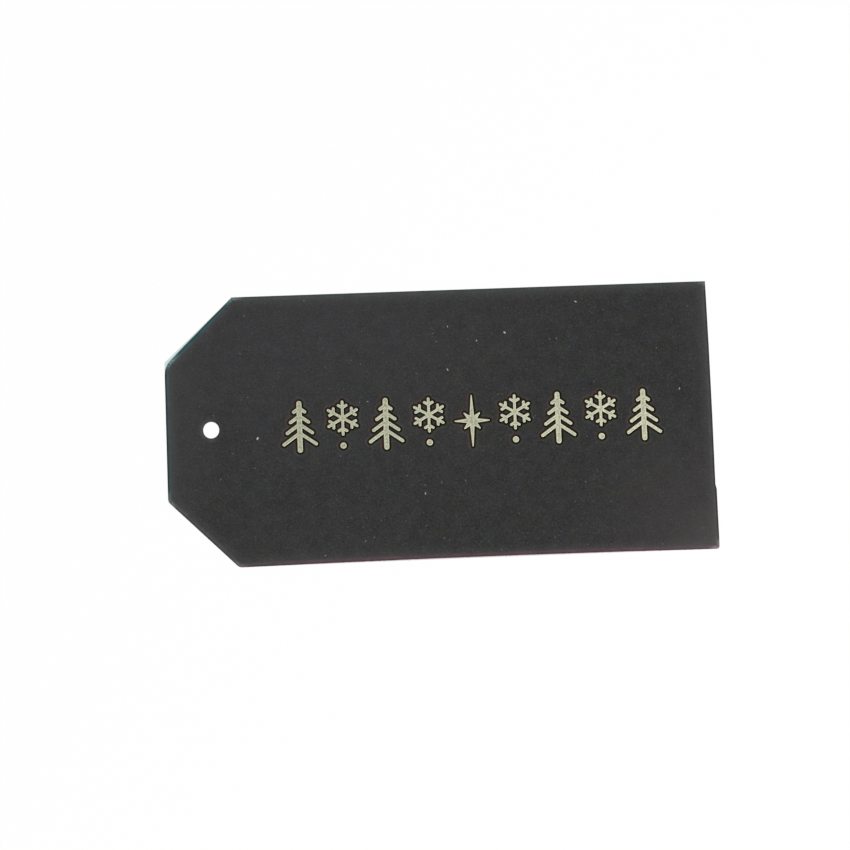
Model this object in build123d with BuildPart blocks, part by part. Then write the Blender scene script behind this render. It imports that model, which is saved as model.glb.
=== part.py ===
"""A gift tag: black paper pasted on a pale card, punched for a string and stamped with foil motifs.

The tag lies on its back in the XY plane, with its stamped face up. X runs along the tag, from the
punched end with its two cut corners to the square end, and Y runs across it. The origin is under
the middle of the tag, on the surface that it lies on. Lengths are in millimetres.
"""

import math
import os

from build123d import *

# Outline of the tag
tag_length = 100.0
tag_width = 49.4
corner_cut_length = 12.55  # of both cut corners, along the tag
upper_cut_width = 12.34  # across the tag
lower_cut_width = 12.34
lower_edge_rise = 0.06  # from the lower cut corner to the square end
back_hollow = 0.1  # the cutter drew the lower edge of the back sheet in at its middle
front_hollow = 0.28  # and that of the front sheet more
nick_step = 0.2  # the lower stretch of the square end stands proud of the rest
nick_height = 10.95  # of that stretch, above the lower edge
nick_ramp = 0.9  # over which the step fades
end_bulge = 0.09  # of the rest, at its middle
lower_corner_radius = 1.2  # of both ends of the lower cut corner
square_corner_radius = 0.55  # of the worn lower corner at the square end
worn_corner_radius = 4.0  # of the front sheet, where the upper cut corner meets the punched end

# Lip of the back sheet that shows past the front sheet at the upper cut corner
lip_length = 10.8  # along the tag
lip_height = 0.72  # across the tag, at the punched end

# String hole
hole_diameter = 3.0
hole_from_end = 8.15
hole_above_middle = 0.43

# Layers, from the back
back_sheet_thickness = 0.25
paste_thickness = 0.02
front_sheet_thickness = 0.18

# Foil, pressed into the front sheet
foil_thickness = 0.03
press_depth = 0.06
press_margin = 0.12  # from the foil's edge to the wall of its recess

# Row of motifs
row_from_punched_end = 21.0
row_from_square_end = 9.5
row_from_lower_edge = 20.4
motifs_per_side = 4  # on each side of the star
motif_height = 9.5
motif_gap = 1.4

# Fir: shares of its height where branches leave the trunk, and of half its width that they reach
trunk_stroke = 0.95
branch_stroke = 0.62
branch_root_shares = (0.38, 0.55, 0.71, 0.86)
branch_reach_shares = (1.0, 0.78, 0.56, 0.34)
branch_fall_share = 0.7  # of the reach

# Flake over a dot: shares of the motif's height for their centres, and of an arm for its barbs
flake_stroke = 0.52
flake_centre_share = 0.64
flake_arms = 6
barb_root_share = 0.64
barb_length_share = 0.28
barb_angle = 60
dot_diameter = 1.15
dot_centre_share = 0.11

# Star: shares of half its height for the diagonal rays and for the corners between the rays
star_tip_radius = 0.12
star_rays = 8
star_diagonal_share = 0.42
star_waist_share = 0.17

# Values that follow from the above
tag_left = -tag_length / 2
tag_right = tag_length / 2
tag_bottom = -tag_width / 2
tag_top = tag_width / 2
paste_bottom = back_sheet_thickness
front_sheet_bottom = paste_bottom + paste_thickness
tag_thickness = front_sheet_bottom + front_sheet_thickness
recess_floor = tag_thickness - press_depth
hole_centre = (tag_left + hole_from_end, hole_above_middle)
motif_count = 2 * motifs_per_side + 1
row_length = tag_length - row_from_punched_end - row_from_square_end
motif_pitch = (row_length + motif_gap) / motif_count
motif_width = motif_pitch - motif_gap
row_bottom = tag_bottom + row_from_lower_edge


def tag_outline(hollow):
    """The outline of a sheet, with two cut corners, a hollow lower edge and a nicked square end."""
    cut_left = tag_left + corner_cut_length
    lower_right = (tag_right, tag_bottom + lower_edge_rise)
    nick_bottom = (tag_right, tag_bottom + lower_edge_rise + nick_height)
    nick_top = (tag_right - nick_step, tag_bottom + lower_edge_rise + nick_height + nick_ramp)
    upper_right = (tag_right - nick_step, tag_top)
    with BuildSketch() as outline:
        with BuildLine():
            Polyline(lower_right, nick_bottom, nick_top)
            SagittaArc(nick_top, upper_right, -end_bulge)
            Polyline(
                upper_right,
                (cut_left, tag_top),
                (tag_left, tag_top - upper_cut_width),
                (tag_left, tag_bottom + lower_cut_width),
                (cut_left, tag_bottom),
            )
            SagittaArc((cut_left, tag_bottom), lower_right, hollow)
        make_face()
        cut_start = outline.vertices().group_by(Axis.X)[0].sort_by(Axis.Y)[0]
        cut_end = outline.vertices().group_by(Axis.Y)[0].sort_by(Axis.X)[0]
        fillet((cut_start, cut_end), lower_corner_radius)
        square_corner = outline.vertices().group_by(Axis.X)[-1].sort_by(Axis.Y)[0]
        fillet(square_corner, square_corner_radius)
    return outline.sketch


def worn_outline():
    """The outline of the front sheet, worn round at the upper corner of the punched end."""
    with BuildSketch() as outline:
        add(tag_outline(front_hollow))
        worn_corner = outline.vertices().group_by(Axis.X)[0].sort_by(Axis.Y)[-1]
        fillet(worn_corner, worn_corner_radius)
    return outline.sketch


def lip_outline():
    """The sliver of back sheet outside the upper cut corner, widest at the punched end."""
    corner_height = tag_top - upper_cut_width
    lip_rise = lip_length * upper_cut_width / corner_cut_length
    with BuildSketch() as outline:
        with BuildLine():
            Polyline(
                (tag_left, corner_height),
                (tag_left, corner_height + lip_height),
                (tag_left + lip_length, corner_height + lip_rise),
                close=True,
            )
        make_face()
    return outline.sketch


def stroke(start, end, width):
    """Draws one round-ended stroke in the open sketch, with the round ends centred on two points."""
    run = Vector(end) - Vector(start)
    with Locations((Vector(start) + Vector(end)) / 2):
        SlotCenterToCenter(run.length, width, rotation=math.degrees(math.atan2(run.Y, run.X)))


def fir(margin):
    """A fir, grown by a margin: an upright trunk, with branches that fall away on both sides."""
    widest_reach = (motif_width - branch_stroke) / 2
    trunk_top = motif_height - trunk_stroke / 2
    with BuildSketch() as outline:
        stroke((0, trunk_stroke / 2), (0, trunk_top), trunk_stroke + 2 * margin)
        for root_share, reach_share in zip(branch_root_shares, branch_reach_shares):
            root = root_share * motif_height
            reach = reach_share * widest_reach
            tip = root - branch_fall_share * reach
            for side in (-1, 1):
                stroke((0, root), (side * reach, tip), branch_stroke + 2 * margin)
    return outline.sketch


def flake(margin):
    """A snow flake, grown by a margin: straight arms from its centre, each with a pair of barbs."""
    centre = Vector(0, flake_centre_share * motif_height)
    arm = Vector(0, (motif_width - flake_stroke) / 2)
    width = flake_stroke + 2 * margin
    with BuildSketch() as outline:
        for number in range(flake_arms):
            along = arm.rotate(Axis.Z, number * 360 / flake_arms)
            barb_root = centre + along * barb_root_share
            stroke(centre, centre + along, width)
            for angle in (-barb_angle, barb_angle):
                stroke(barb_root, barb_root + along.rotate(Axis.Z, angle) * barb_length_share, width)
    return outline.sketch


def star(margin):
    """A star, grown by a margin: long upright rays, shorter level rays and short diagonal rays."""
    half_height = motif_height / 2
    upright = half_height - star_tip_radius
    level = motif_width / 2 - star_tip_radius
    diagonal = star_diagonal_share * half_height
    ray_lengths = (level, diagonal, upright, diagonal)
    waist = Vector(star_waist_share * half_height, 0)
    half_step = 180 / star_rays
    points = []
    for number in range(star_rays):
        angle = 2 * half_step * number
        ray = Vector(ray_lengths[number % len(ray_lengths)], 0)
        points.append(ray.rotate(Axis.Z, angle))
        points.append(waist.rotate(Axis.Z, angle + half_step))
    with BuildSketch() as outline:
        with Locations((0, half_height)):
            Polygon(*points)
        offset(amount=star_tip_radius + margin)
    return outline.sketch


def dot(margin):
    """A round dot, grown by a margin."""
    with BuildSketch() as outline:
        with Locations((0, dot_centre_share * motif_height)):
            Circle(dot_diameter / 2 + margin)
    return outline.sketch


def motif_feet():
    """Where each kind of motif stands: a star in the middle of the row, then flakes and firs by turns."""
    feet = {"star": [], "fir": [], "flake": []}
    for column in range(motif_count):
        foot = (tag_left + row_from_punched_end + motif_width / 2 + column * motif_pitch, row_bottom)
        steps_from_star = abs(column - motifs_per_side)
        if steps_from_star == 0:
            feet["star"].append(foot)
        elif steps_from_star % 2 == 1:
            feet["flake"].append(foot)
        else:
            feet["fir"].append(foot)
    return feet


feet = motif_feet()
motifs = (
    ("foil_star", star, feet["star"]),
    ("foil_fir", fir, feet["fir"]),
    ("foil_flake", flake, feet["flake"]),
    ("foil_dot", dot, feet["flake"]),
)

os.makedirs("parts", exist_ok=True)

# Back sheet
with BuildPart() as back_sheet:
    with BuildSketch():
        add(tag_outline(back_hollow))
        add(lip_outline())
    extrude(amount=back_sheet_thickness)
    with Locations(hole_centre):
        Hole(hole_diameter / 2)
back_sheet.part.label = "back_sheet"
export_step(back_sheet.part, "parts/back_sheet.step")

# Film of paste between the sheets
with BuildPart() as paste_film:
    with BuildSketch(Plane.XY.offset(paste_bottom)):
        add(worn_outline())
    extrude(amount=paste_thickness)
    with Locations(hole_centre):
        Hole(hole_diameter / 2)
paste_film.part.label = "paste_film"
export_step(paste_film.part, "parts/paste_film.step")

# Front sheet, with a pressed recess for each motif
with BuildPart() as front_sheet:
    with BuildSketch(Plane.XY.offset(front_sheet_bottom)):
        add(worn_outline())
    extrude(amount=front_sheet_thickness)
    with Locations(hole_centre):
        Hole(hole_diameter / 2)
    with BuildSketch(Plane.XY.offset(tag_thickness)):
        for _, draw, places in motifs:
            with Locations(*places):
                add(draw(press_margin))
    extrude(amount=-press_depth, mode=Mode.SUBTRACT)
front_sheet.part.label = "front_sheet"
export_step(front_sheet.part, "parts/front_sheet.step")

# Foil motifs, each on the floor of its recess
for kind, draw, places in motifs:
    shape = draw(0)
    for number, place in enumerate(places, start=1):
        name = f"{kind}_{number}"
        with BuildPart() as foil:
            with BuildSketch(Plane.XY.offset(recess_floor)):
                with Locations(place):
                    add(shape)
            extrude(amount=foil_thickness)
        foil.part.label = name
        export_step(foil.part, f"parts/{name}.step")
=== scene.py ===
"""The gift tag as it looks: two sheets of worn paper, stamped foil, a white floor and soft light.

The sheets and the foil are rebuilt as fine meshes over the outlines of the CAD nodes that they stand for.
Everything is in metres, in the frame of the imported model: the tag lies on its back, stamped face up.
"""

import math

import bmesh
import bpy
import numpy as np
from mathutils import Euler, Matrix, Vector, noise
from mathutils.bvhtree import BVHTree
from mathutils.geometry import delaunay_2d_cdt


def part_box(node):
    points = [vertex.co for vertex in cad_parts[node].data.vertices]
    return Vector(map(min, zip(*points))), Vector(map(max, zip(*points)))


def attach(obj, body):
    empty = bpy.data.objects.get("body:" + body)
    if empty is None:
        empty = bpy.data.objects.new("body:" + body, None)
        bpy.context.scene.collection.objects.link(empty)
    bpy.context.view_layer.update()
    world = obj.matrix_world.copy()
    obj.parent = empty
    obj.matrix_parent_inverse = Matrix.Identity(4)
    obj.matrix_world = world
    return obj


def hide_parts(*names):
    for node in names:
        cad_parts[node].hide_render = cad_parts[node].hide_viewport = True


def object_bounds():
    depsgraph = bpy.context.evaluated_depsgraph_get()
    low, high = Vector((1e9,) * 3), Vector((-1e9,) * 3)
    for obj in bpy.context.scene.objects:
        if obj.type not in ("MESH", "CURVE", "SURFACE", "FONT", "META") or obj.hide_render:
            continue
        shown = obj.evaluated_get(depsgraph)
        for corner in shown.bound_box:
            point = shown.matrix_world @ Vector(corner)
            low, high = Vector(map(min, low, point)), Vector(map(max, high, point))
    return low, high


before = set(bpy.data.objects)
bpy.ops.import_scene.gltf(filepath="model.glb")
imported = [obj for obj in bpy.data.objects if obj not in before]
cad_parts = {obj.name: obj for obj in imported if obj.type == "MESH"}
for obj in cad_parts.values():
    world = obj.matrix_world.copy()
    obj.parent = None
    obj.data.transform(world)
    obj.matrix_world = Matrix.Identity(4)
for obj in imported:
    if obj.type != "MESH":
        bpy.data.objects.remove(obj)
cad_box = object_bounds()

mm = 0.001

# Meshing
weld = 0.0001 * mm
wall_reach = 1.0 * mm  # up and down from an outline, in measuring how far from it a point lies
sheet_spacing = 0.18 * mm  # along the outlines of the sheets
foil_spacing = 0.09 * mm  # along the outlines of the foil
field_spacing = 0.8 * mm  # over the faces
field_jitter_share = 0.35
crowding_share = 0.8  # of a row's offset, below which its points crowd a corner
noise_seed = 7
front_seed = 3
back_seed = 5
fleck_seed = 11

# Sheets of paper
edge_round = 0.05 * mm
edge_row_shares = (0.15, 0.35, 0.65, 1.0, 2.0, 4.0, 6.5, 9.0, 13.0, 18.0)  # of the rounding
edge_clearance = edge_row_shares[0] * edge_round / 2
cut_roughness = 0.012 * mm
cut_step_shares = (0.3, 0.5, 1.0)  # of what is left of the cut side at each step
calm_width = 0.45 * mm  # in from the cut, where the paper lies flat
cockle_height = 0.014 * mm
cockle_length = 14.0 * mm
tooth_height = 0.002 * mm
tooth_length = 0.5 * mm

# String hole, punched from the face
punch_drop = 0.07 * mm  # of the face at the rim
punch_reach = 0.4 * mm
punch_shares = (0.975, 1.015)  # of the hole's width, along the tag and across it, that the punch left

# Marks on the front sheet's edges, by the bearing that each edge faces
edge_shade_shares = {0: 0.8, 90: 0.0, 135: 0.05, 180: 0.85, 225: 0.2, 270: 0.1}  # painted shade of the rounded cut
edge_rub_shares = {0: 0.65, 90: 0.45, 135: 1.3, 180: 0.9, 225: 1.1, 270: 0.85}  # rubbed pale
edge_tint_shares = {0: 0.08, 90: -0.17, 135: -1.0, 180: -0.57, 225: -0.04, 270: 0.9}  # blue -1, red 1
handled_width = 2.5 * mm  # in from the edges, where hands have rubbed the paper
cut_shade_width = 0.5 * mm  # in from the cuts, where the paper is painted dark with the shade of its rounded cut
rub_widths = (0.15 * mm, 0.45 * mm, 0.85 * mm)  # where a rubbed band starts, is palest and ends
tint_width = 1.1 * mm

# Marks on the front sheet's rim round the hole, by their bearing from the hole: painted shade on its
# shaded side, and rub with a painted highlight on its lit side
rim_shade_shares = {0: 0.45, 45: 0.6, 90: 0.15, 135: 0.1, 180: 0.2, 225: 0.0, 270: 0.0, 315: 0.5}
rim_rub_and_highlight_shares = {0: 0.25, 45: 0.45, 90: 0.75, 135: 0.7, 180: 0.95, 225: 1.6, 270: 1.4, 315: 0.15}
rim_rub_and_highlight_widths = (0.25 * mm, 0.9 * mm)  # where the rubbed band with its painted highlight starts to fade and ends

# Wear of the front sheet's corners, by the bearing that each corner points in
corner_wear_shares = {138.0: 1.0, 112.5: 0.75, 202.5: 0.55, 247.5: 0.35, 45.0: 0.4, 315.0: 0.8}
wear_reach = 2.4 * mm  # along the edge
wear_widths = (0.38 * mm, 0.66 * mm)  # in from the edge, where a scuff starts to fade and ends
bleach_share = 0.45  # of the tint that a scuff takes off
corner_bleach_shares = {247.5: 0.45, 315.0: 0.5}  # of the tint that is lost towards a corner
bleach_reach = 18.0 * mm
wear_bite = 0.02 * mm
wear_bite_length = 0.45 * mm
wear_sink = 0.035 * mm

# Stamping
press_floor = 0.05 * mm  # from the foil's edge to where the paper starts to rise
press_slope = 0.24 * mm  # from the foil's edge to where the paper is level
press_puff = 0.006 * mm
puff_peak = 0.5 * mm  # from the foil's edge to where the paper puffs up most
puff_reach = 0.85 * mm
puff_rub_share = 0.6
press_rows = tuple(
    k * mm for k in (-0.06, 0.0, 0.05, 0.09, 0.13, 0.17, 0.21, 0.25, 0.34, 0.48, 0.64, 0.85))
foil_round = 0.05 * mm
foil_edge_share = 0.25  # of the foil's thickness, at its very edge
foil_dish = 0.008 * mm
foil_waver = 0.012 * mm
foil_waver_length = 0.3 * mm
foil_rows = tuple(k * mm for k in (0.012, 0.03, 0.055, 0.1, 0.17, 0.26, 0.36))
foil_clearance = foil_rows[0] / 2
foil_step_shares = (1.0,)  # of the foil's side, which is one step

# Marks round the stamping on the paper, by the bearing that the foil's edge faces: burnish with painted
# shade of the pressed rim, and painted tints of its lit and lee sides
burnish_and_shade_shares = {45: 0.95, 135: 0.8, 225: 0.9, 315: 1.0}  # burnished smooth, and painted dark with the shade of the pressed rim, most on the lee side
burnish_and_shade_widths = (0.12 * mm, 0.5 * mm)  # from the foil, where the burnish and its painted shade start to fade and end
lit_and_lee_tint_shares = {0: -1.0, 45: 0.0, 90: 0.7, 135: 1.0, 180: 1.0, 225: 0.0, 270: -0.7, 315: -1.0}
lit_and_lee_tint_widths = (0.3 * mm, 0.95 * mm)  # from the foil, where the painted tint, brown on the lit side 1 or olive on the lee side -1, fades

# Pale fibres in the black paper, the palest ones first, by their place in the photograph
photo_size = 850
fleck_pixels = (
    (257, 438), (504, 332), (575, 301), (447, 369), (679, 388), (425, 493), (447, 326),
    (476, 340), (367, 401), (365, 541), (325, 555), (436, 341), (432, 333), (602, 309),
)
palest_fleck_turn = math.radians(60)
faint_fleck_count = 110
faint_fleck_tries = 4 * faint_fleck_count  # because some fall on foil or off the tag
fleck_lengths = (0.24 * mm, 0.56 * mm)
faint_fleck_lengths = (0.18 * mm, 0.40 * mm)
fleck_width_shares = (0.35, 0.65)  # of its length
fleck_height = 0.012 * mm
fleck_subdivisions = 2
fleck_bend_share = 0.25  # of its length
fleck_clearance = 0.5 * mm  # from foil and edges
fleck_pale_shares = (0.14, 0.68)
faint_fleck_pale_shares = (0.02, 0.13)

# All materials
noise_detail = 2.0
noise_roughness = 0.5
relief_height = 0.012 * mm
mix_first = 6  # the sockets of colours in the node that mixes them
mix_second = 7
mix_result = 2

# Black paper
paper_levels = (0.0084, 0.0519)  # of its dark and its light grains
cloud_size = 2.4 * mm
cloud_detail = 3.0
cloud_roughness = 0.65
mottle_size = 0.27 * mm
mottle_range_shares = (0.27, 0.73)
grain_size = 0.17 * mm
grain_detail = 4.0
grain_roughness = 0.65
speck_size = 0.38 * mm
speck_range_shares = (0.57, 0.71)
pit_range_shares = (0.43, 0.29)
dye_blotch_size = 2.8 * mm
dye_detail = 3.0
dye_shares = (0.09, 0.105, 0.18)  # by which its red, green and blue waver
fibre_width = 0.16 * mm
fibre_stretch = 7.0
fibre_detail = 3.0
fibre_distortion = 1.2
fibre_turns = (0.4, 1.9)
tone_shares = {"cloud": 0.6, "mottle": 0.34, "grain": 0.36, "fibre": 0.07, "speck": 0.45, "pit": -0.25}
tone_start_share = -0.25
handled_share = 0.16
# Rubbed paler, and a painted highlight on the lit side of the hole's rim
rub_and_highlight_share = 0.3
rub_patch_size = 3.0 * mm
rub_patch_detail = 4.0
rub_patch_range_shares = (0.3, 0.7)
rub_patch_shares = (0.2, 1.0)
rubbed_and_highlight_level = 0.14
# Painted shade along the cuts and on the shaded side of the hole's rim
cut_shade_level = 0.012
blue_tint = (0.33, 1.10, 1.12, 1)
red_tint = (1.65, 0.85, 1.05, 1)
scuff_size = 0.35 * mm
scuff_detail = 3.0
scuff_range_shares = (0.38, 0.6)
scuff_shares = (0.3, 1.0)
scuffed_level = 0.27
burnished_and_shaded_colours = ((0.003, 0.006, 0.0, 1), (0.015, 0.0065, 0.001, 1))  # painted shade of the pressed rim: olive on the lee side and brown on the lit side
burnish_smoothing = 0.15
# Painted tints of the pressed rim round the foil: brown on its lit side, olive on its lee side
lit_side_brown = (1.32, 0.96, 0.82, 1)
lee_side_olive = (0.95, 1.01, 0.70, 1)
paper_rough_range_shares = (0.1, 0.8)
paper_roughnesses = (0.8, 0.92)
paper_gloss = 0.18

# Paler gradients on the black paper, strongest towards its lower right corner: middle in half lengths and
# half widths, start, end, share, colour
paler_patches = (
    ((-0.6, 1.8), 15.0 * mm, 72.0 * mm, 0.25, (0.0594, 0.0588, 0.0648, 1)),
    ((1.0, -1.0), 0.0 * mm, 33.0 * mm, 0.40, (0.0672, 0.0582, 0.0588, 1)),
    ((1.0, -1.0), 0.0 * mm, 11.5 * mm, 0.14, (0.156, 0.138, 0.138, 1)),
    ((1.0, -1.0), 0.0 * mm, 3.0 * mm, 0.16, (0.152, 0.138, 0.140, 1)),
    ((-2.4, 0.0), 70.0 * mm, 82.0 * mm, 0.26, (0.0594, 0.06, 0.0624, 1)),
    ((2.4, 1.0), 70.0 * mm, 79.0 * mm, 0.20, (0.0612, 0.06, 0.06, 1)),
    ((-0.6, -3.0), 50.0 * mm, 62.0 * mm, 0.13, (0.06, 0.06, 0.06, 1)),
)

# Pale card
card_colours = ((0.60, 0.63, 0.625, 1), (0.83, 0.86, 0.845, 1))
card_cloud_colour = (0.70, 0.71, 0.66, 1)
card_cloud_size = 4.0 * mm
card_cloud_detail = 3.0
card_cloud_range_shares = (0.35, 0.7)
card_cloud_shares = (0.0, 0.45)
card_fibre_colour = (0.56, 0.54, 0.48, 1)
card_fibre_width = 0.3 * mm
card_fibre_turns = (0.9, 2.3)
card_fibre_range_shares = (0.60, 0.72)
card_fibre_shares = (0.0, 0.4)
card_speck_colour = (0.36, 0.32, 0.26, 1)
card_speck_size = 0.7 * mm
card_speck_range_shares = (0.74, 0.82)
card_speck_shares = (0.0, 0.5)
card_soil_colour = (0.60, 0.565, 0.48, 1)
card_soil_width = 7.0 * mm  # in from the edges of its back
card_soil_patch_size = 6.0 * mm
card_soil_detail = 4.0
card_soil_range_shares = (0.3, 0.7)
card_soil_shares = (0.15, 0.75)
card_edge_colours = ((0.61, 0.74, 0.765, 1), (0.79, 0.72, 0.755, 1))  # blued and reddened by dye
card_edge_width = 1.4 * mm
card_edge_share = 0.9
card_rough_range_shares = (0.2, 0.8)
card_roughnesses = (0.8, 0.95)
card_gloss = 0.2

# Paste
paste_colours = ((0.52, 0.49, 0.40, 1), (0.64, 0.61, 0.52, 1))
paste_grain_size = 0.2 * mm
paste_grain_detail = 4.0
paste_tone_range_shares = (0.3, 0.7)
paste_rough_range_shares = (0.2, 0.8)
paste_roughnesses = (0.45, 0.7)

# Gold foil
foil_colours = ((0.185, 0.185, 0.135, 1), (0.365, 0.37, 0.27, 1))
foil_edge_highlight_colour = (0.40, 0.405, 0.305, 1)
foil_break_colour = (0.10, 0.10, 0.085, 1)
foil_grain_size = 0.16 * mm
foil_grain_detail = 5.0
foil_grain_roughness = 0.7
foil_mottle_size = 0.45 * mm
foil_tone_range_shares = (0.36, 0.64)
foil_edge_highlight_widths = (0.1 * mm, 0.28 * mm)
foil_edge_highlight_share = 0.75
foil_break_size = 0.11 * mm
foil_break_detail = 3.0
foil_break_range_shares = (0.70, 0.78)
foil_rough_range_shares = (0.25, 0.75)
foil_roughnesses = (0.34, 0.52)

# Undyed fibre
fleck_levels = (0.05, 0.62)
fleck_grain_size = 0.085 * mm
fleck_grain_detail = 3.0
fleck_streak_range_shares = (0.25, 0.6)
fleck_streak_shares = (0.65, 1.0)
fleck_rough_range_shares = (0.2, 0.8)
fleck_roughnesses = (0.7, 0.9)

# Camera, as the photograph was taken
lens = 76.24
camera_tilt = math.radians(4.69)
camera_lean = math.radians(-1.41)
camera_roll = math.radians(-2.205)
camera_offset = Vector((-2.87 * mm, -0.12 * mm, 329.32 * mm))

# Floor and light
floor_size = 6.0
floor_gap = 0.01 * mm
floor_colour = (0.95, 0.95, 0.95, 1)
floor_white_share = 0.9
world_strengths = (0.6, 1.0)  # as it lights the tag, and as it is seen
lamp_size = 0.9
lamp_distance = 1.1
lamp_power = 6.5
lamp_tilt = math.radians(28)
lamp_turn = math.radians(55)


def flat_loops(node, height):
    """The closed outlines of a CAD node's level face at a height, the largest first."""
    mesh = bmesh.new()
    mesh.from_mesh(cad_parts[node].data)
    bmesh.ops.remove_doubles(mesh, verts=mesh.verts, dist=weld)
    level = [f for f in mesh.faces if all(abs(v.co.z - height) < weld for v in f.verts)]
    level = dict.fromkeys(level)  # quick to look in, and keeps their order
    following = {}
    for face in level:
        for corner in face.loops:
            if sum(other in level for other in corner.edge.link_faces) == 1:
                following[corner.vert] = corner.link_loop_next.vert
    loops = []
    while following:
        start, vert = following.popitem()
        loop = [start.co.xy]
        while vert is not start:
            loop.append(vert.co.xy)
            vert = following.pop(vert)
        loops.append(np.array(loop))
    mesh.free()
    return sorted(loops, key=lambda loop: np.ptp(loop, axis=0).max(), reverse=True)


def resample(loop, spacing):
    """A closed outline with its long runs divided, so that no step is longer than the spacing."""
    points = []
    for start, end in zip(loop, np.roll(loop, -1, axis=0)):
        steps = max(1, math.ceil(np.linalg.norm(end - start) / spacing))
        shares = np.arange(steps)[:, None] / steps
        points.append(start + (end - start) * shares)
    return np.concatenate(points)


def left_of(loop):
    """The direction to the left of an outline at each of its points: into a face, out of a hole."""
    along = np.roll(loop, -1, axis=0) - np.roll(loop, 1, axis=0)
    along /= np.maximum(np.linalg.norm(along, axis=1), weld)[:, None]
    return np.stack((-along[:, 1], along[:, 0]), axis=1)


class Outline:
    """The closed outlines of a flat shape."""

    def __init__(self, loops):
        self.loops = loops
        self.starts = np.concatenate(loops)
        self.ends = np.concatenate([np.roll(loop, -1, axis=0) for loop in loops])
        count = len(self.starts)
        foot = np.concatenate((self.starts, self.ends))
        walls = [(*point, height) for height in (-wall_reach, wall_reach) for point in foot]
        sides = [(k, k + count, k + 3 * count, k + 2 * count) for k in range(count)]
        self.tree = BVHTree.FromPolygons(walls, sides)

    def distance(self, points):
        """How far each point lies from the nearest outline."""
        return np.array([self.tree.find_nearest((x, y, 0))[3] for x, y in points])

    def facing(self, points):
        """The bearing, in degrees, that the nearest outline faces away from the shape at each point."""
        found = np.array([self.tree.find_nearest((x, y, 0))[1].xy for x, y in points])
        return np.degrees(np.arctan2(found[:, 1], found[:, 0]))

    def inside(self, points):
        """Whether each point lies inside the shape."""
        crossings = np.zeros(len(points), int)
        for start, end in zip(self.starts, self.ends):
            if start[1] != end[1]:
                spans = (start[1] > points[:, 1]) != (end[1] > points[:, 1])
                share = (points[:, 1] - start[1]) / (end[1] - start[1])
                crossings += spans & (points[:, 0] < start[0] + share * (end[0] - start[0]))
        return crossings % 2 == 1

    def rows(self, amounts):
        """Points in rows to the left of the outlines, by each amount, less those that crowd a corner."""
        made = []
        for amount in amounts:
            row = np.concatenate([loop + amount * left_of(loop) for loop in self.loops])
            made.append(row[self.distance(row) >= crowding_share * abs(amount)])
        return np.concatenate(made)

    def fill(self, loose, clearance):
        """Triangles over the shape, on its outline and on the loose points inside and clear of it."""
        kept = loose[self.inside(loose)]
        kept = kept[self.distance(kept) > clearance]
        edges = []
        first = 0
        for loop in self.loops:
            count = len(loop)
            edges += [(first + k, first + (k + 1) % count) for k in range(count)]
            first += count
        points = np.concatenate((*self.loops, kept)) / mm
        found = delaunay_2d_cdt([Vector(p) for p in points], edges, [], 0, weld / mm)
        corners = np.array([tuple(v) for v in found[0]]) * mm
        triangles = np.array(found[2])
        return corners, triangles[self.inside(corners[triangles].mean(1))]


def field(low, high, spacing, seed):
    """Points over a rectangle on an uneven grid."""
    draw = np.random.default_rng(seed)
    columns = np.arange(low[0], high[0], spacing)
    rows = np.arange(low[1], high[1], spacing)
    points = np.stack(np.meshgrid(columns, rows), axis=-1).reshape(-1, 2)
    return points + draw.uniform(-1, 1, points.shape) * spacing * field_jitter_share


def new_piece(name, mesh):
    """Makes an object of a mesh and puts it in the scene."""
    piece = bpy.data.objects.new(name, mesh)
    bpy.context.scene.collection.objects.link(piece)
    return piece


def closed_sheet(name, corners, triangles, heights, end, step_shares, rough):
    """A piece with one shaped face, cut sides that reach its other face in steps, and that face flat."""
    mesh = bpy.data.meshes.new(name)
    mesh.from_pydata(np.column_stack((corners, heights)).tolist(), [], triangles.tolist())
    work = bmesh.new()
    work.from_mesh(mesh)
    bmesh.ops.delete(work, geom=[v for v in work.verts if not v.link_faces], context="VERTS")
    rim = [e for e in work.edges if e.is_boundary]
    for share in step_shares:
        made = bmesh.ops.extrude_edge_only(work, edges=rim)["geom"]
        for vert in (g for g in made if isinstance(g, bmesh.types.BMVert)):
            vert.co.z += share * (end - vert.co.z)
            vert.co.xy += noise.noise_vector(vert.co / tooth_length).xy * rough
        rim = [e for e in work.edges if e.is_boundary]
    for face in work.faces:
        face.smooth = True
    flat = bmesh.ops.triangle_fill(work, edges=rim, use_beauty=True, normal=(0, 0, 1))["geom"]
    for face in (g for g in flat if isinstance(g, bmesh.types.BMFace)):
        face.smooth = False
    bmesh.ops.triangulate(work, faces=work.faces, quad_method="SHORT_EDGE")
    bmesh.ops.recalc_face_normals(work, faces=work.faces)
    work.to_mesh(mesh)
    work.free()
    return new_piece(name, mesh)


def write_attribute(piece, name, values):
    """Gives each corner of a piece's mesh a number that its material reads."""
    attribute = piece.data.attributes.new(name, "FLOAT", "POINT")
    attribute.data.foreach_set("value", np.asarray(values, np.float32))


def corners_of(piece):
    """The XY places of a piece's mesh corners."""
    return np.array([v.co.xy for v in piece.data.vertices])


def smooth_step(low, high, values):
    """Zero below low, one above high, and a smooth rise between."""
    share = np.clip((values - low) / (high - low), 0, 1)
    return share * share * (3 - 2 * share)


def edge_drop(distance, radius):
    """How far a rounded edge has fallen from the face, at a distance in from the cut."""
    reach = np.clip(radius - distance, 0, radius)
    return radius - np.sqrt(radius ** 2 - reach ** 2)


def surface_noise(points, length):
    """A gentle unevenness at each point, from -1 to 1."""
    return np.array([noise.noise(Vector((x, y, 0)) / length) for x, y in points])


def paper_rise(points):
    """How far the face of the paper stands above its plane, from cockling and from its tooth."""
    cockle = cockle_height * surface_noise(points, cockle_length)
    return cockle + tooth_height * surface_noise(points, tooth_length)


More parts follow.
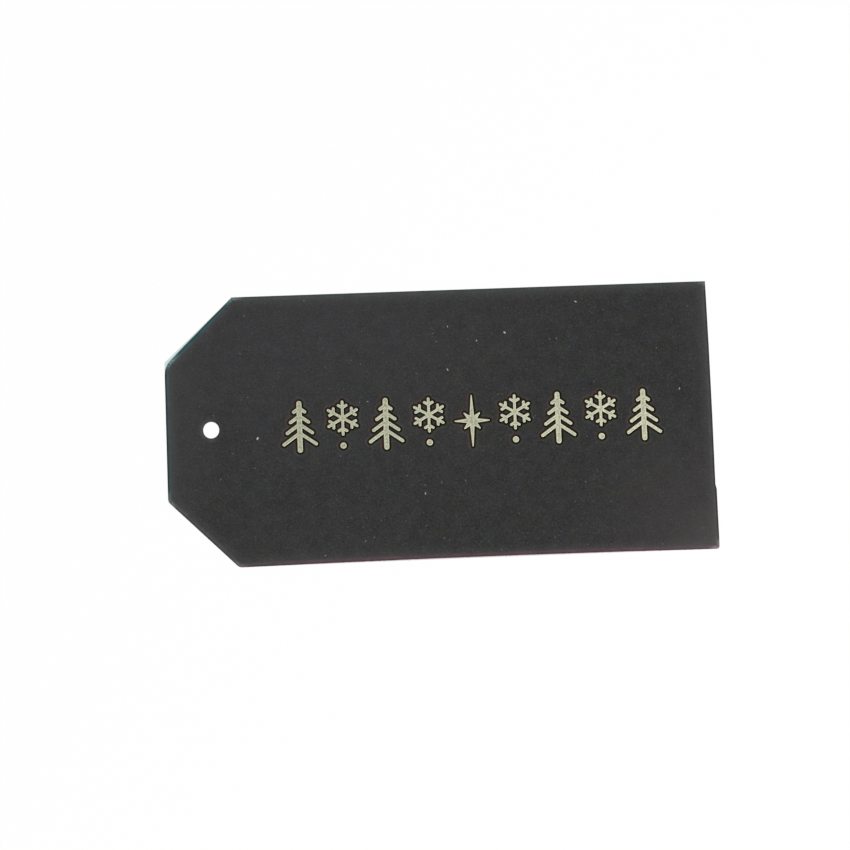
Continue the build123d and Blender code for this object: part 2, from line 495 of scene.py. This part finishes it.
def punched(hole):
    """The rim of the hole, which the punch left a little narrower along the tag than across it."""
    middle = hole.mean(0)
    return middle + (resample(hole, sheet_spacing) - middle) * punch_shares


def turned_down(distance):
    """How far the punch has drawn the face down, at a distance from the rim of the hole."""
    return punch_drop * np.clip(1 - distance / punch_reach, 0, 1) ** 2


def near_corners(points, loop, shares, reach):
    """The share given for a corner of an outline, by its bearing, fading to zero at a reach from it."""
    strength = np.zeros(len(points))
    for bearing, share in shares.items():
        angle = math.radians(bearing)
        corner = loop[np.argmax(loop @ (math.cos(angle), math.sin(angle)))]
        away = np.linalg.norm(points - corner, axis=1)
        strength = np.maximum(strength, share * (1 - smooth_step(0, reach, away)))
    return strength


def bitten(loop):
    """The outline of the front sheet, with its worn corners bitten in unevenly."""
    fine = resample(loop, sheet_spacing)
    bite = wear_bite * (1 + surface_noise(fine, wear_bite_length))
    bite *= near_corners(fine, fine, corner_wear_shares, wear_reach)
    return fine + bite[:, None] * left_of(fine)


def wavered(loop):
    """The outline of a motif, with the slight waver of foil that broke off along its edge."""
    fine = resample(loop, foil_spacing)
    return fine + foil_waver * surface_noise(fine, foil_waver_length)[:, None] * left_of(fine)


def press_profile(points, motifs):
    """How far the die has pressed the paper at each point, how it puffs up there, its burnish with
    painted shade, and its painted lit and lee side tints.
    """
    pressed = np.zeros(len(points))
    puffed = np.zeros(len(points))
    burnished_and_shaded = np.zeros(len(points))
    lit_and_lee_tinted = np.zeros(len(points))
    for motif in motifs:
        low = motif.loops[0].min(0) - puff_reach
        high = motif.loops[0].max(0) + puff_reach
        near = np.flatnonzero(((points > low) & (points < high)).all(1))
        distance = motif.distance(points[near])
        distance[motif.inside(points[near])] *= -1
        pressed[near] = np.maximum(pressed[near], 1 - smooth_step(press_floor, press_slope, distance))
        rise = smooth_step(press_slope, puff_peak, distance)
        fall = smooth_step(puff_peak, puff_reach, distance)
        puffed[near] = np.maximum(puffed[near], rise * (1 - fall))
        facing = motif.facing(points[near])
        # Burnish, and painted shade of the pressed rim, by the side that the foil's edge faces
        line = by_bearing(burnish_and_shade_shares, facing) * (1 - smooth_step(*burnish_and_shade_widths, distance))
        burnished_and_shaded[near] = np.maximum(burnished_and_shaded[near], line)
        # painted tint of the pressed rim's lit and lee sides
        lit_and_lee_tinted[near] += by_bearing(lit_and_lee_tint_shares, facing) * (1 - smooth_step(*lit_and_lee_tint_widths, distance))
    return pressed, puffed, burnished_and_shaded, lit_and_lee_tinted


def by_bearing(shares, bearings):
    """The share for each bearing, from those given for some bearings."""
    return np.interp(bearings, list(shares), list(shares.values()), period=360)


def paper_marks(points, edge, rim, motifs):
    """How strong each kind of mark on the black paper is at each point."""
    from_edge = edge.distance(points)
    from_rim = rim.distance(points)
    bearings = edge.facing(points)
    from_hole = points - rim.loops[0].mean(0)
    rim_bearings = np.degrees(np.arctan2(from_hole[:, 1], from_hole[:, 0]))
    # Painted shade and painted highlight on the hole's rim, by the side that it faces
    rim_shade = by_bearing(rim_shade_shares, rim_bearings) * (1 - smooth_step(0, cut_shade_width, from_rim))
    rim_rub_and_highlight = by_bearing(rim_rub_and_highlight_shares, rim_bearings) * (1 - smooth_step(*rim_rub_and_highlight_widths, from_rim))
    start, peak, finish = rub_widths
    # Painted shade of the rounded cut, by the bearing that it faces
    edge_shade = by_bearing(edge_shade_shares, bearings) * (1 - smooth_step(0, cut_shade_width, from_edge))
    edge_rub = smooth_step(start, peak, from_edge) * (1 - smooth_step(peak, finish, from_edge))
    edge_rub *= by_bearing(edge_rub_shares, bearings)
    edge_tint = by_bearing(edge_tint_shares, bearings) * (1 - smooth_step(0, tint_width, from_edge))
    worn = near_corners(points, edge.loops[0], corner_wear_shares, wear_reach)
    worn *= 1 - smooth_step(*wear_widths, from_edge)
    bleached = near_corners(points, edge.loops[0], corner_bleach_shares, bleach_reach)
    _, puffed, burnished_and_shaded, lit_and_lee_tinted = press_profile(points, motifs)
    return {
        "handled": 1 - smooth_step(0, handled_width, from_edge),
        # rubbed paler at the edges and round the foil, and a painted highlight on the hole's lit rim
        "rubbed_and_highlit": np.maximum(np.maximum(edge_rub, rim_rub_and_highlight), puff_rub_share * puffed),
        "tinted": edge_tint * (1 - np.maximum(bleach_share * worn, bleached)),
        # painted shade along the cuts and on the shaded side of the hole's rim
        "pressed": np.maximum(edge_shade, rim_shade) * (1 - worn),
        "worn": worn,
        # burnish with painted shade of the pressed rim round the foil
        "burnished_and_shaded": burnished_and_shaded,
        "lit_and_lee_tinted": lit_and_lee_tinted,
    }


def ride_as(piece, node, material):
    """Puts a piece in the place of a CAD node, on the tag's one body."""
    piece.data.materials.append(material)
    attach(piece, "root")
    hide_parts(node)


class Nodes:
    """The node tree of a material or of the surround, with short calls for the nodes that they share."""

    def __init__(self, owner):
        owner.use_nodes = True
        self.tree = owner.node_tree
        self.tree.nodes.clear()

    def node(self, kind, inputs=None, **settings):
        """Adds a node, with its settings, and its inputs as values or as links from other nodes."""
        made = self.tree.nodes.new(kind)
        for key, value in settings.items():
            setattr(made, key, value)
        for key, value in (inputs or {}).items():
            if isinstance(value, bpy.types.NodeSocket):
                self.tree.links.new(value, made.inputs[key])
            else:
                made.inputs[key].default_value = value
        return made

    def place(self):
        """Where a point lies on the tag."""
        return self.node("ShaderNodeTexCoord").outputs["Object"]

    def attribute(self, name):
        """A number that the mesh carries."""
        return self.node("ShaderNodeAttribute", attribute_name=name).outputs["Fac"]

    def noise(self, place, size, detail=noise_detail, roughness=noise_roughness, distortion=0.0):
        """Noise from 0 to 1, in lumps of about a size."""
        made = self.node("ShaderNodeTexNoise", {
            "Vector": place, "Scale": 1 / size, "Detail": detail,
            "Roughness": roughness, "Distortion": distortion})
        return made.outputs["Fac"]

    def streaks(self, place, width, turn):
        """Streaks along one direction of the sheet, from 0 to 1."""
        laid = self.node("ShaderNodeMapping", {
            "Vector": place, "Rotation": (0, 0, turn), "Scale": (1 / fibre_stretch, 1, 1)})
        return self.noise(laid.outputs[0], width, detail=fibre_detail, distortion=fibre_distortion)

    def fibres(self, place, width, turns):
        """Streaks along two directions of the sheet, from 0 to 1."""
        return self.math("MAXIMUM", *(self.streaks(place, width, turn) for turn in turns))

    def spread(self, value, low, high, to_low=0.0, to_high=1.0):
        """A value carried from one range to another, smoothly and without going past its ends."""
        made = self.node("ShaderNodeMapRange", {
            "Value": value, "From Min": low, "From Max": high, "To Min": to_low, "To Max": to_high},
            interpolation_type="SMOOTHSTEP")
        return made.outputs["Result"]

    def math(self, operation, first, second):
        """The result of a sum, product or other operation on two values."""
        return self.node("ShaderNodeMath", {0: first, 1: second}, operation=operation).outputs[0]

    def away(self, place, point):
        """How far a place lies from a point."""
        made = self.node("ShaderNodeVectorMath", {0: place, 1: point}, operation="DISTANCE")
        return made.outputs["Value"]

    def mix(self, share, first, second, blend="MIX"):
        """One colour over another by a share."""
        made = self.node("ShaderNodeMix", {
            "Factor": share, mix_first: first, mix_second: second}, data_type="RGBA", blend_type=blend)
        return made.outputs[mix_result]

    def paper_tone(self, place):
        """The tone of paper from its clouds, mottling, grain, fibres, specks and pits, and its grain."""
        grain = self.noise(place, grain_size, detail=grain_detail, roughness=grain_roughness)
        specks = self.noise(place, speck_size)
        parts = {
            "cloud": self.noise(place, cloud_size, detail=cloud_detail, roughness=cloud_roughness),
            "mottle": self.spread(self.noise(place, mottle_size), *mottle_range_shares),
            "grain": grain,
            "fibre": self.fibres(place, fibre_width, fibre_turns),
            "speck": self.spread(specks, *speck_range_shares),
            "pit": self.spread(specks, *pit_range_shares),
        }
        tone = tone_start_share
        for name, part in parts.items():
            tone = self.math("ADD", tone, self.math("MULTIPLY", part, tone_shares[name]))
        return tone, grain

    def dye(self, place):
        """The unevenness of dye: a colour near white whose red, green and blue waver in blotches."""
        blotches = self.node("ShaderNodeTexNoise", {
            "Vector": place, "Scale": 1 / dye_blotch_size, "Detail": dye_detail})
        gains = [2 * share for share in dye_shares]
        starts = [1 - share for share in dye_shares]
        made = self.node("ShaderNodeVectorMath", {
            0: blotches.outputs["Color"], 1: gains, 2: starts}, operation="MULTIPLY_ADD")
        return made.outputs["Vector"]

    def seen(self):
        """One where a ray comes from the camera, from a gloss or through glass, and otherwise zero."""
        path = self.node("ShaderNodeLightPath").outputs
        either = self.math("MAXIMUM", path["Is Camera Ray"], path["Is Glossy Ray"])
        return self.math("MAXIMUM", either, path["Is Transmission Ray"])

    def end(self, kind, shader):
        """Ends the tree in its output node."""
        output = self.node(kind)
        self.tree.links.new(shader.outputs[0], output.inputs["Surface"])

    def surface(self, colour, rough, relief, **others):
        """Ends a material in a shader with a colour, a roughness, a relief and other inputs by name."""
        bump = self.node("ShaderNodeBump", {"Height": relief, "Distance": relief_height, "Strength": 1.0})
        shader = self.node("ShaderNodeBsdfPrincipled", {
            "Base Color": colour, "Roughness": rough, "Normal": bump.outputs[0], **others})
        self.end("ShaderNodeOutputMaterial", shader)


def grey(level):
    """A grey colour."""
    return (level, level, level, 1)


def black_paper():
    """Matt black paper: mottled, fibrous, paler in patches, pale from rubbing at its edges, with
    burnishing and painted shade round the foil, painted shade along its cuts and a painted highlight on
    the hole's lit rim.
    """
    material = bpy.data.materials.new("black_paper")
    nodes = Nodes(material)
    place = nodes.place()
    tone, _ = nodes.paper_tone(place)
    colour = nodes.mix(tone, *(grey(level) for level in paper_levels))
    colour = nodes.mix(1.0, colour, nodes.dye(place), blend="MULTIPLY")
    low, high = cad_box
    # Paler towards the lower right corner, and in wide gradients from other sides
    for (along, across), begin, end, share, paler_colour in paler_patches:
        middle = (along * (high.x - low.x) / 2, across * (high.y - low.y) / 2, 0)
        paler_share = nodes.spread(nodes.away(place, middle), begin, end, share, 0.0)
        colour = nodes.mix(paler_share, colour, paler_colour)
    patches = nodes.noise(place, rub_patch_size, detail=rub_patch_detail)
    patches = nodes.spread(patches, *rub_patch_range_shares, *rub_patch_shares)
    handled = nodes.math("MULTIPLY", nodes.attribute("handled"), handled_share)
    # Rubbed paler, and a painted highlight on the lit side of the hole's rim
    rub_and_highlight = nodes.math("MULTIPLY", nodes.math("MULTIPLY", nodes.attribute("rubbed_and_highlit"), patches), rub_and_highlight_share)
    colour = nodes.mix(nodes.math("ADD", handled, rub_and_highlight), colour, grey(rubbed_and_highlight_level))
    # Painted shade along the cuts and on the shaded side of the hole's rim
    colour = nodes.mix(nodes.attribute("pressed"), colour, grey(cut_shade_level))
    scuffs = nodes.noise(place, scuff_size, detail=scuff_detail)
    scuffs = nodes.spread(scuffs, *scuff_range_shares, *scuff_shares)
    scuffs = nodes.math("MULTIPLY", nodes.attribute("worn"), scuffs)
    colour = nodes.mix(scuffs, colour, grey(scuffed_level))
    tinted = nodes.attribute("tinted")
    colour = nodes.mix(nodes.math("MULTIPLY", tinted, -1.0), colour, blue_tint, blend="MULTIPLY")
    colour = nodes.mix(tinted, colour, red_tint, blend="MULTIPLY")
    # Burnish round the foil, with painted shade of the pressed rim: olive black on the lee side, brown on
    # the lit side
    burnish_and_shade = nodes.attribute("burnished_and_shaded")
    lit_and_lee_tinted = nodes.attribute("lit_and_lee_tinted")
    colour = nodes.mix(burnish_and_shade, colour, nodes.mix(nodes.spread(lit_and_lee_tinted, -1.0, 1.0), *burnished_and_shaded_colours))
    # Painted tints of the pressed rim: brown on its lit side, olive on its lee side
    colour = nodes.mix(lit_and_lee_tinted, colour, lit_side_brown, blend="MULTIPLY")
    colour = nodes.mix(nodes.math("MULTIPLY", lit_and_lee_tinted, -1.0), colour, lee_side_olive, blend="MULTIPLY")
    rough = nodes.spread(tone, *paper_rough_range_shares, *paper_roughnesses)
    rough = nodes.math("SUBTRACT", rough, nodes.math("MULTIPLY", burnish_and_shade, burnish_smoothing))
    nodes.surface(colour, rough, tone, **{"Metallic": burnish_and_shade, "Specular IOR Level": paper_gloss})
    return material


def pale_card():
    """Uncoated near-white card: cloudy, fibrous, specked, and soiled and tinted at its edges."""
    material = bpy.data.materials.new("pale_card")
    nodes = Nodes(material)
    place = nodes.place()
    tone, grain = nodes.paper_tone(place)
    colour = nodes.mix(tone, *card_colours)
    clouds = nodes.noise(place, card_cloud_size, detail=card_cloud_detail)
    clouds = nodes.spread(clouds, *card_cloud_range_shares, *card_cloud_shares)
    colour = nodes.mix(clouds, colour, card_cloud_colour)
    fibres = nodes.fibres(place, card_fibre_width, card_fibre_turns)
    fibres = nodes.spread(fibres, *card_fibre_range_shares, *card_fibre_shares)
    colour = nodes.mix(fibres, colour, card_fibre_colour)
    specks = nodes.noise(place, card_speck_size)
    specks = nodes.spread(specks, *card_speck_range_shares, *card_speck_shares)
    colour = nodes.mix(specks, colour, card_speck_colour)
    patches = nodes.noise(place, card_soil_patch_size, detail=card_soil_detail)
    patches = nodes.spread(patches, *card_soil_range_shares, *card_soil_shares)
    soil = nodes.math("MULTIPLY", nodes.attribute("soiled"), patches)
    colour = nodes.mix(soil, colour, card_soil_colour)
    tinted = nodes.attribute("tinted")
    for turn, edge_colour in zip((-card_edge_share, card_edge_share), card_edge_colours):
        colour = nodes.mix(nodes.math("MULTIPLY", tinted, turn), colour, edge_colour)
    rough = nodes.spread(grain, *card_rough_range_shares, *card_roughnesses)
    nodes.surface(colour, rough, tone, **{"Specular IOR Level": card_gloss})
    return material


def paste():
    """Dried paste: slightly yellow, with a dull gloss where it shows at the cut."""
    material = bpy.data.materials.new("paste")
    nodes = Nodes(material)
    grain = nodes.noise(nodes.place(), paste_grain_size, detail=paste_grain_detail)
    colour = nodes.mix(nodes.spread(grain, *paste_tone_range_shares), *paste_colours)
    rough = nodes.spread(grain, *paste_rough_range_shares, *paste_roughnesses)
    nodes.surface(colour, rough, grain)
    return material


def gold_foil():
    """Pale gold foil, stamped on paper: grainy, with a painted highlight along its edges, and tiny
    breaks.
    """
    material = bpy.data.materials.new("gold_foil")
    nodes = Nodes(material)
    place = nodes.place()
    grain = nodes.noise(place, foil_grain_size, detail=foil_grain_detail, roughness=foil_grain_roughness)
    mottle = nodes.noise(place, foil_mottle_size)
    tone = nodes.math("DIVIDE", nodes.math("ADD", grain, mottle), 2)
    colour = nodes.mix(nodes.spread(tone, *foil_tone_range_shares), *foil_colours)
    # Painted highlight along the foil's edges
    rim = nodes.spread(nodes.attribute("inset"), *foil_edge_highlight_widths, foil_edge_highlight_share, 0.0)
    colour = nodes.mix(rim, colour, foil_edge_highlight_colour)
    breaks = nodes.noise(place, foil_break_size, detail=foil_break_detail)
    colour = nodes.mix(nodes.spread(breaks, *foil_break_range_shares), colour, foil_break_colour)
    rough = nodes.spread(grain, *foil_rough_range_shares, *foil_roughnesses)
    nodes.surface(colour, rough, grain, Metallic=1.0)
    return material


def pale_fibre():
    """Undyed fibre, from grey to nearly white, with a streaky tone."""
    material = bpy.data.materials.new("pale_fibre")
    nodes = Nodes(material)
    grain = nodes.noise(nodes.place(), fleck_grain_size, detail=fleck_grain_detail)
    streaks = nodes.spread(grain, *fleck_streak_range_shares, *fleck_streak_shares)
    pale = nodes.math("MULTIPLY", nodes.attribute("paleness"), streaks)
    colour = nodes.mix(pale, *(grey(level) for level in fleck_levels))
    rough = nodes.spread(grain, *fleck_rough_range_shares, *fleck_roughnesses)
    nodes.surface(colour, rough, grain)
    return material


def make_front_sheet(material, motifs):
    """The black paper, pressed in under the foil, with worn edges and corners and a punched hole."""
    low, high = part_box("front_sheet")
    outer, *holes = (loop[::-1] for loop in flat_loops("front_sheet", low.z))
    edge = Outline([bitten(outer)])
    rim = Outline([punched(hole) for hole in holes])
    outline = Outline(edge.loops + rim.loops)
    recess_depth = high.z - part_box("foil_star_1")[0].z
    edge_rows = outline.rows([share * edge_round for share in edge_row_shares])
    press_points = [motif.rows([-amount for amount in press_rows]) for motif in motifs]
    loose = np.concatenate([edge_rows, *press_points, field(low.xy, high.xy, field_spacing, front_seed)])
    corners, triangles = outline.fill(loose, edge_clearance)
    distance = outline.distance(corners)
    pressed, puffed, _, _ = press_profile(corners, motifs)
    worn = near_corners(corners, outer, corner_wear_shares, wear_reach)
    worn *= 1 - smooth_step(*wear_widths, distance)
    calm = (1 - pressed) * smooth_step(0, calm_width, distance)
    heights = high.z - edge_drop(distance, edge_round) - turned_down(rim.distance(corners))
    heights += (
        calm * paper_rise(corners) + press_puff * puffed - recess_depth * pressed - wear_sink * worn)
    piece = closed_sheet(
        "front_paper", corners, triangles, heights, low.z, cut_step_shares, cut_roughness)
    for name, values in paper_marks(corners_of(piece), edge, rim, motifs).items():
        write_attribute(piece, name, values)
    ride_as(piece, "front_sheet", material)


def make_back_sheet(material):
    """The pale card, with its lip, its rounded lower edges and a slightly cockled back."""
    low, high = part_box("back_sheet")
    outer, *holes = flat_loops("back_sheet", high.z)
    outline = Outline([resample(outer, sheet_spacing)] + [punched(hole) for hole in holes])
    edge_rows = outline.rows([share * edge_round for share in edge_row_shares])
    loose = np.concatenate([edge_rows, field(low.xy, high.xy, field_spacing, back_seed)])
    corners, triangles = outline.fill(loose, edge_clearance)
    distance = outline.distance(corners)
    calm = smooth_step(0, calm_width, distance)
    heights = low.z + edge_drop(distance, edge_round) + calm * np.abs(paper_rise(corners))
    piece = closed_sheet(
        "back_card", corners, triangles, heights, high.z, cut_step_shares, cut_roughness)
    places = corners_of(piece)
    from_edge = outline.distance(places)
    on_face_side = np.array([v.co.z for v in piece.data.vertices]) > (low.z + high.z) / 2
    tinted = by_bearing(edge_tint_shares, outline.facing(places))
    tinted *= 1 - smooth_step(0, card_edge_width, from_edge)
    write_attribute(piece, "tinted", tinted * on_face_side)
    write_attribute(piece, "soiled", (1 - smooth_step(0, card_soil_width, from_edge)) * ~on_face_side)
    ride_as(piece, "back_sheet", material)


def make_foil(node, motif, material):
    """One stamped motif: foil that turns down into the paper at its edge and is a little dished."""
    low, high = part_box(node)
    corners, triangles = motif.fill(motif.rows(foil_rows), foil_clearance)
    distance = motif.distance(corners)
    rise = foil_edge_share + (1 - foil_edge_share) * smooth_step(0, foil_round, distance)
    dish = foil_dish * smooth_step(foil_round, foil_rows[-1], distance)
    heights = low.z + (high.z - low.z) * rise - dish
    name = node.replace("foil", "stamped")
    piece = closed_sheet(name, corners, triangles, heights, low.z, foil_step_shares, 0)
    write_attribute(piece, "inset", motif.distance(corners_of(piece)))
    ride_as(piece, node, material)


def on_face(pixel, camera, height):
    """The point of the tag's face that shows at a pixel of the photograph."""
    view_width = camera.data.sensor_width / camera.data.lens
    middle = (photo_size - 1) / 2
    across = (pixel[0] - middle) / photo_size * view_width
    up = (middle - pixel[1]) / photo_size * view_width
    ray = camera.rotation_euler.to_matrix() @ Vector((across, up, -1))
    return (camera.location + ray * (height - camera.location.z) / ray.z).xy


def add_fleck(work, place, height, length, turn, draw):
    """Adds one short flat fibre to a mesh: bent, uneven and half sunk in the paper."""
    width = length * draw.uniform(*fleck_width_shares)
    bend = fleck_bend_share * draw.uniform(-1, 1) / length
    size = Matrix.Diagonal((length / 2, width / 2, fleck_height, 1))
    made = bmesh.ops.create_icosphere(
        work, subdivisions=fleck_subdivisions, radius=1, matrix=size)["verts"]
    stand = Matrix.Translation((*place, height)) @ Matrix.Rotation(turn, 4, "Z")
    for vert in made:
        vert.co.y += bend * vert.co.x ** 2
        vert.co.xy *= 1 + fleck_bend_share * noise.noise((stand @ vert.co) / (length / 2))
        vert.co = stand @ vert.co
    return len(made)


def make_flecks(material, camera, motifs):
    """The pale fibres in the black paper: the palest as in the photograph, and faint ones all over."""
    low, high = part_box("front_sheet")
    outline = Outline([loop[::-1] for loop in flat_loops("front_sheet", low.z)])
    draw = np.random.default_rng(fleck_seed)
    pale = [on_face(pixel, camera, high.z) for pixel in fleck_pixels]
    faint = draw.uniform(low.xy, high.xy, (faint_fleck_tries, 2))
    clear = outline.inside(faint) & (outline.distance(faint) > fleck_clearance)
    for motif in motifs:
        clear &= motif.distance(faint) > fleck_clearance
    faint = faint[clear][:faint_fleck_count]
    ranks = np.linspace(1, 0, len(pale))
    lengths = np.concatenate((
        np.interp(ranks, (0, 1), fleck_lengths), draw.uniform(*faint_fleck_lengths, len(faint))))
    shares = np.concatenate((
        np.interp(ranks, (0, 1), fleck_pale_shares), draw.uniform(*faint_fleck_pale_shares, len(faint))))
    places = np.concatenate((pale, faint))
    heights = high.z + paper_rise(places)
    turns = draw.uniform(0, math.pi, len(places))
    turns[0] = palest_fleck_turn
    work = bmesh.new()
    paleness = []
    for place, height, length, turn, share in zip(places, heights, lengths, turns, shares):
        paleness += [share] * add_fleck(work, place, height, length, turn, draw)
    for face in work.faces:
        face.smooth = True
    mesh = bpy.data.meshes.new("pale_fibres")
    work.to_mesh(mesh)
    work.free()
    mesh.materials.append(material)
    piece = new_piece("pale_fibres", mesh)
    write_attribute(piece, "paleness", paleness)
    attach(piece, "root")


def make_floor():
    """A wide floor that shows white and keeps the tag's shadow."""
    low, _ = cad_box
    half = floor_size / 2
    level = low.z - floor_gap
    mesh = bpy.data.meshes.new("floor")
    sides = [(-half, -half, level), (half, -half, level), (half, half, level), (-half, half, level)]
    mesh.from_pydata(sides, [], [(0, 1, 2, 3)])
    material = bpy.data.materials.new("floor_white")
    nodes = Nodes(material)
    diffuse = nodes.node("ShaderNodeBsdfDiffuse", {"Color": floor_colour})
    glow = nodes.node("ShaderNodeEmission", {"Color": grey(1), "Strength": 1.0})
    share = nodes.math("MULTIPLY", nodes.seen(), floor_white_share)
    nodes.end("ShaderNodeOutputMaterial", nodes.node(
        "ShaderNodeMixShader", {0: share, 1: diffuse.outputs[0], 2: glow.outputs[0]}))
    mesh.materials.append(material)
    new_piece("floor", mesh)


def make_light():
    """An even white surround and one large soft lamp, high on one side."""
    world = bpy.data.worlds.new("surround")
    bpy.context.scene.world = world
    nodes = Nodes(world)
    strength = nodes.spread(nodes.seen(), 0, 1, *world_strengths)
    nodes.end("ShaderNodeOutputWorld", nodes.node(
        "ShaderNodeBackground", {"Color": grey(1), "Strength": strength}))
    data = bpy.data.lights.new("lamp", "AREA")
    data.shape = "DISK"
    data.size = lamp_size
    data.energy = lamp_power
    lamp = new_piece("lamp", data)
    lamp.rotation_euler = Euler((lamp_tilt, 0, lamp_turn))
    lamp.location = lamp.rotation_euler.to_matrix() @ Vector((0, 0, lamp_distance))


def make_camera():
    """The camera, a little towards the viewer's side from straight above."""
    data = bpy.data.cameras.new("camera")
    data.lens = lens
    camera = new_piece("camera", data)
    camera.rotation_euler = Euler((camera_tilt, camera_lean, camera_roll))
    camera.location = camera.rotation_euler.to_matrix() @ camera_offset
    bpy.context.scene.camera = camera
    return camera


noise.seed_set(noise_seed)
foil_nodes = sorted(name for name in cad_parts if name.startswith("foil_"))
foil_motifs = {}
for foil_node in foil_nodes:
    foil_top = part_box(foil_node)[1].z
    foil_motifs[foil_node] = Outline([wavered(loop) for loop in flat_loops(foil_node, foil_top)])

photo_camera = make_camera()
make_light()
make_floor()
make_front_sheet(black_paper(), foil_motifs.values())
make_back_sheet(pale_card())
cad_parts["paste_film"].data.materials.clear()
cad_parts["paste_film"].data.materials.append(paste())
foil_material = gold_foil()
for foil_node, foil_motif in foil_motifs.items():
    make_foil(foil_node, foil_motif, foil_material)
make_flecks(pale_fibre(), photo_camera, foil_motifs.values())

bpy.context.scene.view_settings.view_transform = "Standard"
